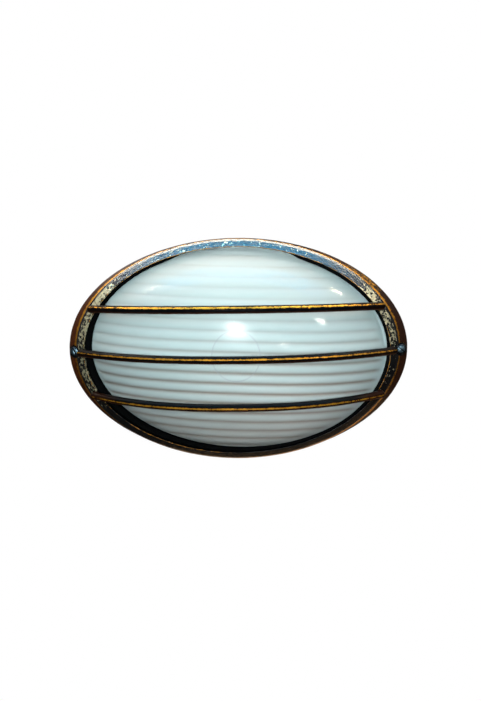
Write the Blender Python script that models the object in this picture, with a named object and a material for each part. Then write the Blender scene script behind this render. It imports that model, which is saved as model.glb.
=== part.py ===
"""Oval caged wall light: a die-cast back body, a ribbed opal glass dome in a
rubber gasket, and a bevelled cage ring with three bowed guard bars, held by
two slotted screws.  Inside are a screw lampholder on its bracket, a lamp, a
reflector, a two-pole terminal block and an earth screw.

Frame: metres, +Z up.  The wall is the plane y = 0, the light faces -Y, and
+X runs to the viewer's right along the oval's long axis.
"""
import math

import bmesh
import bpy
from mathutils import Matrix, Vector

MM = 0.001
GAP = 0.3               # clearance between touching pieces, mm

# ---- cage ring (semi-axis along X, semi-axis along Z, depth y), mm ----
RIM_A, RIM_B = 132.5, 86.3          # widest outline
RIM_BACK_Y, RIM_FRONT_Y = -39.3, -45.3
RING_OUT_A, RING_OUT_B, RING_OUT_Y = 124.8, 85.9, -52.9
RING_IN_A, RING_IN_B, RING_IN_Y = 118.0, 80.1, -57.4
PRESS_Y = -50.3                     # underside that presses on the gasket
SEGMENTS = 64

# ---- guard bars ----
BAR_FOOT_Y = -54.9                  # centre line where a bar meets the ring
BAR_RZ, BAR_RY = 2.95, 3.3          # half height and half depth of the section
BAR_POWER = 2.36
MID_BAR = dict(half=124.6, z=0.0, spread=0.0, bulge=41.5)
SIDE_BAR = dict(half=113.1, z=34.0, spread=2.4, bulge=37.4)

# ---- cage screws ----
SCREW_X = 127.0
SCREW_SEAT_Y = -49.2
SCREW_HEAD_R, SCREW_HEAD_H = 3.6, 2.3
SCREW_SHANK_R = 1.95
SCREW_END_Y = -28.0

# ---- glass ----
GLASS_TURN = -2.2                   # degrees about the view axis, as it sits in the ring
DOME_A, DOME_B = 115.0, 78.7
DOME_FOOT_Y = -48.2
DOME_RISE, DOME_POWER = 35.0, 3.17
GLASS_WALL = 3.0
FLANGE_A, FLANGE_B = 117.2, 81.1
FLANGE_BACK_Y = -44.8
RIB_PITCH, RIB_VALLEY_Z, RIB_HEIGHT = 7.9, 3.5, 0.9

# ---- gasket (U section round the glass flange) ----
GASKET_A, GASKET_B = 121.5, 83.8
GASKET_WEB_A, GASKET_WEB_B = 119.9, 82.4
GASKET_BACK_Y, GASKET_FRONT_Y = -42.8, -50.0
LIP_A, LIP_B, LIP_X, LIP_Z = 115.2, 77.3, 2.0, 0.4     # inner edge of the lip that lies on the dome's foot
LIP_T = 0.9

# ---- back body ----
FLOOR = 3.2
SEAT_Y = -42.5

# ---- lamp and holder, on one axis along X ----
AXIS_Y = -39.0
HOLDER_R = 19.5
HOLDER_BACK_X, HOLDER_FRONT_X = -94.0, -54.0
BORE_R = 14.4

# ---- reflector, bracket, terminals ----
REFLECTOR_Y, REFLECTOR_T = -8.0, 0.8
REFLECTOR_A, REFLECTOR_B, REFLECTOR_X = 63.0, 45.0, 1.0
LEG_X = -94.3
PLATE_T = 1.5
FOOT_Y = -6.0
BLOCK_X, BLOCK_Y0, BLOCK_Y1 = 85.0, -3.5, -16.0
POLE_Z = 6.4
POLE_Y = -9.2
FIXING_HOLES = [(46.0, 54.0), (-46.0, 54.0), (46.0, -54.0), (-46.0, -54.0)]
GROMMET_XZ = (80.0, 31.0)
EARTH_XZ = (80.0, -31.0)
BRACKET_SCREW_X, BRACKET_SCREW_Z = -80.0, 8.0
REFLECTOR_SCREW_X = (-50.0, 52.0)


# ------------------------------------------------------------------ helpers
def material(name, color, roughness, metallic, alpha=1.0, transmission=0.0):
    mat = bpy.data.materials.new(name)
    mat.use_nodes = True
    bsdf = mat.node_tree.nodes["Principled BSDF"]
    bsdf.inputs["Base Color"].default_value = (*color, 1.0)
    bsdf.inputs["Roughness"].default_value = roughness
    bsdf.inputs["Metallic"].default_value = metallic
    bsdf.inputs["Alpha"].default_value = alpha
    bsdf.inputs["Transmission Weight"].default_value = transmission
    mat.diffuse_color = (*color, alpha)
    return mat


def new_object(name, bm):
    """Mesh in mm becomes an object in metres with outward normals."""
    bmesh.ops.recalc_face_normals(bm, faces=bm.faces)
    bmesh.ops.scale(bm, vec=(MM, MM, MM), verts=bm.verts)
    mesh = bpy.data.meshes.new(name)
    bm.to_mesh(mesh)
    bm.free()
    obj = bpy.data.objects.new(name, mesh)
    bpy.context.scene.collection.objects.link(obj)
    return obj


def boolean(obj, tool, operation):
    """Apply one Boolean with the exact solver and drop the tool."""
    mod = obj.modifiers.new("bool", "BOOLEAN")
    mod.operation = operation
    mod.solver = "EXACT"
    mod.object = tool
    bpy.context.view_layer.update()
    graph = bpy.context.evaluated_depsgraph_get()
    result = bpy.data.meshes.new_from_object(obj.evaluated_get(graph))
    obj.modifiers.clear()
    old = obj.data
    obj.data = result
    bpy.data.meshes.remove(old)
    bpy.data.objects.remove(tool)
    return obj


def finish(obj, mat, angle=35.0):
    obj.data.materials.clear()
    obj.data.materials.append(mat)
    obj.data.shade_smooth()
    obj.data.set_sharp_from_angle(angle=math.radians(angle))
    return obj


def oval(a, b, y, n=SEGMENTS, cx=0.0, power=2.0):
    pts = []
    for i in range(n):
        t = 2.0 * math.pi * i / n
        c, s = math.cos(t), math.sin(t)
        x = math.copysign(abs(c) ** (2.0 / power), c) * a
        z = math.copysign(abs(s) ** (2.0 / power), s) * b
        pts.append((cx + x, y, z))
    return pts


def circle(axis, centre, r, n, along):
    """Loop of n points round an axis letter, `along` being the axis position."""
    pts = []
    for i in range(n):
        t = 2.0 * math.pi * i / n
        u, v = r * math.cos(t), r * math.sin(t)
        if axis == "y":
            pts.append((centre[0] + u, along, centre[1] + v))
        elif axis == "x":
            pts.append((along, centre[0] + u, centre[1] + v))
        else:
            pts.append((centre[0] + u, centre[1] + v, along))
    return pts


def add_loops(bm, loops, ring=False, caps=True):
    rows = [[bm.verts.new(p) for p in loop] for loop in loops]
    n = len(rows[0])
    pairs = list(zip(rows, rows[1:]))
    if ring:
        pairs.append((rows[-1], rows[0]))
    for lo, hi in pairs:
        for i in range(n):
            j = (i + 1) % n
            bm.faces.new((lo[i], lo[j], hi[j], hi[i]))
    if caps and not ring:
        bm.faces.new(rows[0])
        bm.faces.new(list(reversed(rows[-1])))
    return rows


def lofted(name, loops, ring=False):
    bm = bmesh.new()
    add_loops(bm, loops, ring)
    return new_object(name, bm)


def turned(name, axis, centre, profile, n=24):
    """Solid of revolution: profile is (position along axis, radius)."""
    return lofted(name, [circle(axis, centre, r, n, p) for p, r in profile])


def tube(name, axis, centre, p0, p1, r_out, r_in, n=24):
    loops = [circle(axis, centre, r_out, n, p0), circle(axis, centre, r_out, n, p1),
             circle(axis, centre, r_in, n, p1), circle(axis, centre, r_in, n, p0)]
    return lofted(name, loops, ring=True)


def cylinders(name, axis, specs, n=20):
    """Several separate cylinders in one object: (centre, p0, p1, r)."""
    bm = bmesh.new()
    for centre, p0, p1, r in specs:
        add_loops(bm, [circle(axis, centre, r, n, p0), circle(axis, centre, r, n, p1)])
    return new_object(name, bm)


def box(name, lo, hi):
    bm = bmesh.new()
    bmesh.ops.create_cube(bm, size=1.0)
    for v in bm.verts:
        v.co = Vector([lo[k] + (v.co[k] + 0.5) * (hi[k] - lo[k]) for k in range(3)])
    return new_object(name, bm)


def slotted_screw(name, head_r, head_h, shank_r, shank_len, slot_w, slot_d, n=20):
    """Screw on its own axis: head front at local -Y, underside at y = 0,
    shank along +Y."""
    c = (0.0, 0.0)
    profile = [(shank_len, shank_r * 0.72), (shank_len - shank_r * 0.6, shank_r),
               (0.0, shank_r), (0.0, head_r), (-head_h * 0.62, head_r),
               (-head_h * 0.9, head_r * 0.86), (-head_h, head_r * 0.62)]
    obj = turned(name, "y", c, profile, n)
    slot = box(name + "_slot", (-head_r * 1.3, -head_h - 1.0, -slot_w / 2),
               (head_r * 1.3, -head_h + slot_d, slot_w / 2))
    return boolean(obj, slot, "DIFFERENCE")


def place(obj, at, direction="y", turn=0.0):
    """Move a screw to `at` (mm); its shank then runs along the direction."""
    rot = Matrix.Rotation(math.radians(turn), 4, "Y")
    if direction == "x":
        rot = Matrix.Rotation(math.radians(-90.0), 4, "Z") @ rot
    elif direction == "-z":
        rot = Matrix.Rotation(math.radians(-90.0), 4, "X") @ rot
    elif direction == "z":
        rot = Matrix.Rotation(math.radians(90.0), 4, "X") @ rot
    obj.matrix_world = Matrix.Translation([v * MM for v in at]) @ rot
    return obj


def copy_screw(src, name):
    obj = bpy.data.objects.new(name, src.data)
    bpy.context.scene.collection.objects.link(obj)
    return obj


def wire(name, points, r, mat, count):
    """A lead along a smooth curve read through its route's own points."""
    pts = [Vector(p) for p in points]
    ext = [pts[0] * 2 - pts[1]] + pts + [pts[-1] * 2 - pts[-2]]
    fine = []
    for k in range(1, len(ext) - 2):
        p0, p1, p2, p3 = ext[k - 1:k + 3]
        for s in range(24):
            t = s / 24.0
            fine.append(0.5 * ((2 * p1) + (p2 - p0) * t + (2 * p0 - 5 * p1 + 4 * p2 - p3) * t * t
                               + (3 * p1 - p0 - 3 * p2 + p3) * t ** 3))
    fine.append(pts[-1])
    run = [0.0]
    for a, b in zip(fine, fine[1:]):
        run.append(run[-1] + (b - a).length)
    out, k = [], 0
    for i in range(count):
        want = run[-1] * i / (count - 1)
        while k < len(run) - 2 and run[k + 1] < want:
            k += 1
        f = (want - run[k]) / max(run[k + 1] - run[k], 1e-9)
        out.append(fine[k].lerp(fine[k + 1], min(max(f, 0.0), 1.0)))
    curve = bpy.data.curves.new(name, "CURVE")
    curve.dimensions = "3D"
    curve.bevel_depth = r * MM
    curve.bevel_resolution = 2
    curve.use_fill_caps = True
    spline = curve.splines.new("POLY")
    spline.points.add(count - 1)
    for point, co in zip(spline.points, out):
        point.co = (co.x * MM, co.y * MM, co.z * MM, 1.0)
    curve.materials.append(mat)
    obj = bpy.data.objects.new(name, curve)
    bpy.context.scene.collection.objects.link(obj)
    return obj


# ------------------------------------------------------------------- shapes
def back_body(mat):
    loops = [
        oval(119.5, 77.5, 0.0), oval(121.0, 79.0, -1.5), oval(122.0, 80.8, -31.0),
        oval(124.5, 82.3, -34.4), oval(130.2, 85.2, -37.2), oval(132.2, 86.0, -38.2),
        oval(132.2, 86.0, -39.0), oval(130.1, 83.9, -39.0), oval(130.1, 83.9, SEAT_Y),
        oval(118.5, 78.0, SEAT_Y), oval(117.5, 76.4, -8.0), oval(115.5, 74.4, -4.4),
        oval(112.5, 71.4, -FLOOR),
    ]
    body = lofted("back_body", loops)
    for side in (-1, 1):
        lug = turned("lug", "y", (side * SCREW_X, 0.0),
                     [(-21.5, 2.6), (-22.6, 4.0), (-25.0, 4.7), (-38.9, 5.3)], 24)
        boolean(body, lug, "UNION")
    posts = [((x, z), -2.0, -6.2, 6.0) for x, z in FIXING_HOLES]
    posts += [((x, 0.0), -2.0, REFLECTOR_Y + GAP, 4.2) for x in REFLECTOR_SCREW_X]
    posts += [((BRACKET_SCREW_X, s * BRACKET_SCREW_Z), -2.0, FOOT_Y + GAP, 4.4) for s in (-1, 1)]
    posts += [(EARTH_XZ, -2.0, -6.4, 5.2)]
    boolean(body, cylinders("posts", "y", posts, 20), "UNION")
    holes = [((s * SCREW_X, 0.0), -25.5, -60.0, 2.25) for s in (-1, 1)]
    holes += [((x, z), 2.0, -12.0, 2.6) for x, z in FIXING_HOLES]
    holes += [((x, 0.0), -1.2, -12.0, 1.85) for x in REFLECTOR_SCREW_X]
    holes += [((BRACKET_SCREW_X, s * BRACKET_SCREW_Z), -1.2, -12.0, 1.85) for s in (-1, 1)]
    holes += [(EARTH_XZ, -1.2, -12.0, 2.25), (GROMMET_XZ, 2.0, -12.0, 6.0),
              ((BLOCK_X, 0.0), -1.2, -12.0, 1.55)]
    boolean(body, cylinders("holes", "y", holes, 20), "DIFFERENCE")
    return finish(body, mat)


def bar_loops(half, z, spread, bulge, n=24, k=10):
    """Sections of one guard bar from its left end to its right end."""
    def centre(t):
        g = 1.0 - abs(t) ** BAR_POWER
        side = math.copysign(1.0, z) if z else 0.0
        return Vector((half * t, BAR_FOOT_Y - bulge * g, z + side * spread * g))
    reach = (half - 1.6) / half
    ts = [math.sin(math.pi / 2 * (-1 + 2 * i / n) * 0.86) / math.sin(math.pi / 2 * 0.86) * reach
          for i in range(n + 1)]
    loops = []

    def section(c, tangent, scale):
        up = Vector((0, 0, 1))
        up = (up - up.dot(tangent) * tangent).normalized()
        out = tangent.cross(up).normalized()
        return [tuple(c + scale * (BAR_RZ * math.sin(2 * math.pi * i / k) * up
                                   + BAR_RY * math.cos(2 * math.pi * i / k) * out)) for i in range(k)]

    for i, t in enumerate(ts):
        tan = (centre(min(t + 1e-3, 1.0)) - centre(max(t - 1e-3, -1.0))).normalized()
        c = centre(t)
        if i == 0:
            loops.append(section(c - tan * 1.9, tan, 0.5))
            loops.append(section(c - tan * 1.2, tan, 0.84))
        loops.append(section(c, tan, 1.0))
        if i == n:
            loops.append(section(c + tan * 1.2, tan, 0.84))
            loops.append(section(c + tan * 1.9, tan, 0.5))
    return loops


def cage(mat):
    loops = [
        oval(RIM_A, RIM_B, RIM_BACK_Y), oval(RIM_A, RIM_B, RIM_FRONT_Y),
        oval(131.6, 86.2, -46.7), oval(125.6, 86.05, -52.1),
        oval(RING_OUT_A, RING_OUT_B, RING_OUT_Y), oval(124.0, 85.2, -53.6),
        oval(118.8, 80.9, -57.1), oval(RING_IN_A + 0.1, RING_IN_B + 0.1, RING_IN_Y),
        oval(117.7, 79.8, -56.9), oval(118.2, 80.3, PRESS_Y),
        oval(123.2, 84.1, PRESS_Y), oval(124.0, 84.3, -49.6), oval(130.5, 84.4, -44.4),
        oval(130.5, 84.4, RIM_BACK_Y),
    ]
    obj = lofted("cage", loops, ring=True)
    pads = cylinders("pads", "y", [((s * SCREW_X, 0.0), SEAT_Y - GAP, -51.0, 4.75) for s in (-1, 1)], 24)
    boolean(obj, pads, "UNION")
    for spec, side in ((MID_BAR, 1), (SIDE_BAR, 1), (SIDE_BAR, -1)):
        bar = lofted("bar", bar_loops(spec["half"], spec["z"] * side, spec["spread"], spec["bulge"]))
        boolean(obj, bar, "UNION")
    wells = cylinders("wells", "y", [((s * SCREW_X, 0.0), SCREW_SEAT_Y, -70.0, 4.4) for s in (-1, 1)], 24)
    boolean(obj, wells, "DIFFERENCE")
    holes = cylinders("holes", "y", [((s * SCREW_X, 0.0), -30.0, -70.0, 2.3) for s in (-1, 1)], 20)
    boolean(obj, holes, "DIFFERENCE")
    return finish(obj, mat, 38.0)


def dome_y(x, z, a=DOME_A, b=DOME_B, foot=DOME_FOOT_Y, rise=DOME_RISE):
    rho = math.sqrt((x / a) ** 2 + (z / b) ** 2)
    return foot - rise * (1.0 - min(rho, 1.0) ** DOME_POWER)


def zipper(bm, loop_a, loop_b):
    """Join two closed loops with different counts by triangles, walking by angle."""
    def ang(v):
        return math.atan2(v.co.z, v.co.x) % (2 * math.pi)
    la = sorted(loop_a, key=ang)
    lb = sorted(loop_b, key=ang)
    i = j = 0
    na, nb = len(la), len(lb)
    while i < na or j < nb:
        a_next = ang(la[(i + 1) % na]) + (2 * math.pi if i + 1 >= na else 0)
        b_next = ang(lb[(j + 1) % nb]) + (2 * math.pi if j + 1 >= nb else 0)
        if j >= nb or (i < na and a_next <= b_next):
            bm.faces.new((la[i % na], la[(i + 1) % na], lb[j % nb]))
            i += 1
        else:
            bm.faces.new((lb[j % nb], la[i % na], lb[(j + 1) % nb]))
            j += 1


def glass(mat):
    """Pressed dome with straight horizontal ribs outside, smooth inside, and a flat flange."""
    bm = bmesh.new()
    step = RIB_PITCH / 3.0
    rows_z = []
    k = math.ceil((-DOME_B + 4.0 - RIB_VALLEY_Z) / step)
    while RIB_VALLEY_Z + k * step < DOME_B - 4.0:
        rows_z.append(RIB_VALLEY_Z + k * step)
        k += 1
    edge = [DOME_B - 2.4, DOME_B - 1.1, DOME_B - 0.3]
    rows_z = [-z for z in reversed(edge)] + rows_z + edge
    cols = 14

    def outer(x, z):
        rho = math.sqrt((x / DOME_A) ** 2 + (z / DOME_B) ** 2)
        base = Vector((x, dome_y(x, z), z))
        e = 0.05
        nx = (dome_y(x + e, z) - dome_y(x - e, z)) / (2 * e)
        nz = (dome_y(x, z + e) - dome_y(x, z - e)) / (2 * e)
        normal = Vector((nx, -1.0, nz)).normalized()
        fade = min(max((1.0 - rho) / 0.05, 0.0), 1.0)
        rib = abs(math.sin(math.pi * (z - RIB_VALLEY_Z) / RIB_PITCH))
        return base + normal * RIB_HEIGHT * (rib - 1.0) * fade

    rows = []
    for z in rows_z:
        half = DOME_A * math.sqrt(1.0 - (z / DOME_B) ** 2)
        row = []
        for c in range(cols + 1):
            u = math.sin(math.pi / 2 * (-1 + 2 * c / cols))
            u = 0.45 * (-1 + 2 * c / cols) + 0.55 * u
            row.append(bm.verts.new(outer(half * u, z)))
        rows.append(row)
    low = bm.verts.new((0, DOME_FOOT_Y, -DOME_B))
    top = bm.verts.new((0, DOME_FOOT_Y, DOME_B))
    for r0, r1 in zip(rows, rows[1:]):
        for c in range(cols):
            bm.faces.new((r0[c], r0[c + 1], r1[c + 1], r1[c]))
    for c in range(cols):
        bm.faces.new((low, rows[0][c + 1], rows[0][c]))
        bm.faces.new((top, rows[-1][c], rows[-1][c + 1]))
    border = [low] + [r[-1] for r in rows] + [top] + [r[0] for r in reversed(rows)]

    n = 56
    ring = [[bm.verts.new(p) for p in oval(a, b, y, n)] for a, b, y in (
        (FLANGE_A - 0.5, FLANGE_B - 0.5, DOME_FOOT_Y), (FLANGE_A, FLANGE_B, DOME_FOOT_Y + 0.5),
        (FLANGE_A, FLANGE_B, FLANGE_BACK_Y - 0.3), (FLANGE_A - 0.3, FLANGE_B - 0.3, FLANGE_BACK_Y),
        (DOME_A - GLASS_WALL, DOME_B - GLASS_WALL, FLANGE_BACK_Y))]
    inner_a, inner_b = DOME_A - GLASS_WALL, DOME_B - GLASS_WALL
    for f in (0.97, 0.9, 0.78, 0.6, 0.38, 0.15):
        ring.append([bm.verts.new((x, dome_y(x, z, inner_a, inner_b, FLANGE_BACK_Y,
                                             DOME_RISE + FLANGE_BACK_Y - DOME_FOOT_Y - GLASS_WALL), z))
                     for x, _, z in oval(inner_a * f, inner_b * f, 0.0, n)])
    zipper(bm, border, ring[0])
    for lo, hi in zip(ring, ring[1:]):
        for i in range(n):
            j = (i + 1) % n
            bm.faces.new((lo[i], lo[j], hi[j], hi[i]))
    bm.faces.new(ring[-1])
    bmesh.ops.rotate(bm, verts=bm.verts, cent=(0, 0, 0),
                     matrix=Matrix.Rotation(math.radians(-GLASS_TURN), 3, "Y"))
    return finish(new_object("glass_diffuser", bm), mat, 60.0)


def lip_point(t, share):
    """Point (x, z) of the lip at angle t: share 0 at its inner edge, 1 at its root."""
    a, b = 116.5, 79.9
    turn = math.radians(-GLASS_TURN)
    u, w = LIP_A * math.cos(t) + LIP_X, LIP_B * math.sin(t) + LIP_Z
    x, z = u * math.cos(turn) + w * math.sin(turn), -u * math.sin(turn) + w * math.cos(turn)
    rho = math.sqrt((x / a) ** 2 + (z / b) ** 2)
    if rho > 1.0:
        x, z, rho = x / rho, z / rho, 1.0
    bare = 0.0                      # no lip along the middle of the top
    if z > 0.0:
        bare = min(max((52.0 - abs(x)) / 14.0, 0.0), 1.0)
        bare = bare * bare * (3.0 - 2.0 * bare)
    k = 1.0 + bare * (1.0 / rho - 1.0)
    k = k + share * (117.1 / a / rho - k)
    return x * k, z * k


def foot_y(x, z):
    """Front of the glass, dome or flange, at a point of the wall plane."""
    turn = math.radians(-GLASS_TURN)
    u, w = x * math.cos(turn) - z * math.sin(turn), x * math.sin(turn) + z * math.cos(turn)
    return dome_y(u, w)


def gasket(mat):
    n = 96
    angles = [2.0 * math.pi * i / n for i in range(n)]

    def lip(share, lift, limit):
        pts = []
        for t in angles:
            x, z = lip_point(t, share)
            pts.append((x, min(limit, foot_y(x, z) - lift), z))
        return pts
    front = GASKET_FRONT_Y
    under = DOME_FOOT_Y - GAP
    loops = [oval(a, b, y, n) for a, b, y in (
        (GASKET_A, GASKET_B, GASKET_BACK_Y), (GASKET_A, GASKET_B, front + 0.6),
        (GASKET_A - 0.6, GASKET_B - 0.6, front), (117.3, 80.6, front))]
    loops += [lip(0.45, 0.55 + LIP_T, front), lip(0.1, 0.55 + LIP_T, front + 0.1), lip(0.0, 0.55 + 0.6 * LIP_T, front + 0.6),
              lip(0.0, 0.55, under), lip(0.5, 0.55, under)]
    loops += [oval(a, b, y, n) for a, b, y in (
        (GASKET_WEB_A, GASKET_WEB_B, under),
        (GASKET_WEB_A, GASKET_WEB_B, FLANGE_BACK_Y + GAP),
        (116.4, 79.0, FLANGE_BACK_Y + GAP), (116.4, 79.0, GASKET_BACK_Y))]
    return finish(lofted("glass_gasket", loops, ring=True), mat)


def reflector(mat):
    cx, n = REFLECTOR_X, 48
    a, b, y, t = REFLECTOR_A, REFLECTOR_B, REFLECTOR_Y, REFLECTOR_T
    loops = [oval(a - 4, b - 4, y, n, cx, 3.2), oval(a - 0.6, b - 0.6, y - 2.6, n, cx, 3.2),
             oval(a, b, y - 3.0, n, cx, 3.2), oval(a - 0.5, b - 0.5, y - 3.6, n, cx, 3.2),
             oval(a - 1.4, b - 1.4, y - 3.1, n, cx, 3.2), oval(a - 4.5, b - 4.5, y - t, n, cx, 3.2)]
    obj = lofted("reflector", loops)
    holes = cylinders("h", "y", [((x, 0.0), 2.0, -20.0, 2.1) for x in REFLECTOR_SCREW_X], 16)
    boolean(obj, holes, "DIFFERENCE")
    return finish(obj, mat)


def bracket(mat):
    """Sheet-steel angle: a foot on the floor and a leg behind the holder."""
    r_in, arc = 1.2, 5
    x_in, x_out = LEG_X, LEG_X - PLATE_T
    y_in, y_out = FOOT_Y - PLATE_T, FOOT_Y
    pts = [(-68.0, y_in), (-68.0, y_out)]
    for k in range(arc + 1):
        t = math.pi / 2 * k / arc
        r = r_in + PLATE_T
        pts.append((x_in + r_in - r * math.sin(t), y_in - r_in + r * math.cos(t)))
    pts += [(x_out, -53.5), (x_in, -53.5)]
    for k in range(arc + 1):
        t = math.pi / 2 * (1 - k / arc)
        pts.append((x_in + r_in - r_in * math.sin(t), y_in - r_in + r_in * math.cos(t)))
    bm = bmesh.new()
    lo = [bm.verts.new((x, y, -13.0)) for x, y in pts]
    hi = [bm.verts.new((x, y, 13.0)) for x, y in pts]
    n = len(pts)
    for i in range(n):
        j = (i + 1) % n
        bm.faces.new((lo[i], lo[j], hi[j], hi[i]))
    bm.faces.new(lo)
    bm.faces.new(list(reversed(hi)))
    obj = new_object("lampholder_bracket", bm)
    corners = cylinders("c", "y", [((BRACKET_SCREW_X, s * BRACKET_SCREW_Z), 0.0, -12.0, 2.1)
                                   for s in (-1, 1)], 16)
    boolean(obj, corners, "DIFFERENCE")
    holes = cylinders("h", "x", [((AXIS_Y + s * 11.0, 0.0), -110.0, -90.0, 1.8) for s in (-1, 1)], 16)
    boolean(obj, holes, "DIFFERENCE")
    return finish(obj, mat)


def holder_body(mat):
    c = (AXIS_Y, 0.0)
    profile = [(HOLDER_BACK_X, 16.5), (-92.5, 18.4), (-90.0, HOLDER_R), (-64.0, HOLDER_R),
               (-62.8, 18.6), (-55.2, 18.4), (HOLDER_FRONT_X, 17.2), (HOLDER_FRONT_X, 15.4),
               (-55.2, BORE_R), (-78.5, BORE_R), (-78.5, 6.2), (-83.5, 6.2)]
    obj = turned("lampholder_body", "x", c, profile, 24)
    pockets = box("p", (-93.0, AXIS_Y - 4.2, 17.2), (-84.0, AXIS_Y + 4.2, 30.0))
    boolean(obj, pockets, "DIFFERENCE")
    pockets = box("p", (-93.0, AXIS_Y - 4.2, -30.0), (-84.0, AXIS_Y + 4.2, -17.2))
    boolean(obj, pockets, "DIFFERENCE")
    holes = cylinders("h", "x", [((AXIS_Y + s * 11.0, 0.0), -100.0, -86.0, 1.75) for s in (-1, 1)], 16)
    boolean(obj, holes, "DIFFERENCE")
    return finish(obj, mat)


def lamp(mat):
    c = (AXIS_Y, 0.0)
    profile = [(-78.0, 3.0), (-77.4, 4.6), (-76.4, 5.2), (-74.6, 9.6), (-73.8, 12.4), (-72.8, 13.05),
               (-53.0, 13.05), (-51.2, 13.4), (-50.6, 14.2), (-44.0, 14.9), (-36.0, 18.6), (-28.0, 23.2),
               (-20.0, 26.2), (-11.0, 27.5), (-2.0, 26.6), (6.0, 23.4), (12.6, 17.8), (17.0, 10.0),
               (18.8, 2.2)]
    return finish(turned("lamp", "x", c, profile, 24), mat, 45.0)


def terminal_block(mat):
    obj = box("terminal_block", (BLOCK_X - 12, BLOCK_Y1, -12.5), (BLOCK_X + 12, BLOCK_Y0, 12.5))
    notches = box("n", (BLOCK_X - 20, BLOCK_Y1 - 1.0, -1.4), (BLOCK_X + 20, BLOCK_Y1 + 3.6, 1.4))
    boolean(obj, notches, "DIFFERENCE")
    bores = cylinders("b", "x", [((POLE_Y, s * POLE_Z), BLOCK_X - 20, BLOCK_X + 20, 3.0)
                                 for s in (-1, 1)], 16)
    boolean(obj, bores, "DIFFERENCE")
    wells = cylinders("w", "y", [((BLOCK_X + e * 5.5, s * POLE_Z), POLE_Y, -20.0, 2.3)
                                 for s in (-1, 1) for e in (-1, 1)], 14)
    boolean(obj, wells, "DIFFERENCE")
    centre = cylinders("w", "y", [((BLOCK_X, 0.0), 0.0, -20.0, 1.8)], 14)
    boolean(obj, centre, "DIFFERENCE")
    well = cylinders("w", "y", [((BLOCK_X, 0.0), -9.0, -20.0, 3.1)], 16)
    boolean(obj, well, "DIFFERENCE")
    return finish(obj, mat)


def insert(name, side, mat):
    obj = tube(name, "x", (POLE_Y, side * POLE_Z), BLOCK_X - 10.5, BLOCK_X + 10.5, 2.7, 1.6, 16)
    holes = cylinders("h", "y", [((BLOCK_X + e * 5.5, side * POLE_Z), POLE_Y, -20.0, 1.15)
                                 for e in (-1, 1)], 12)
    boolean(obj, holes, "DIFFERENCE")
    return finish(obj, mat)


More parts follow.
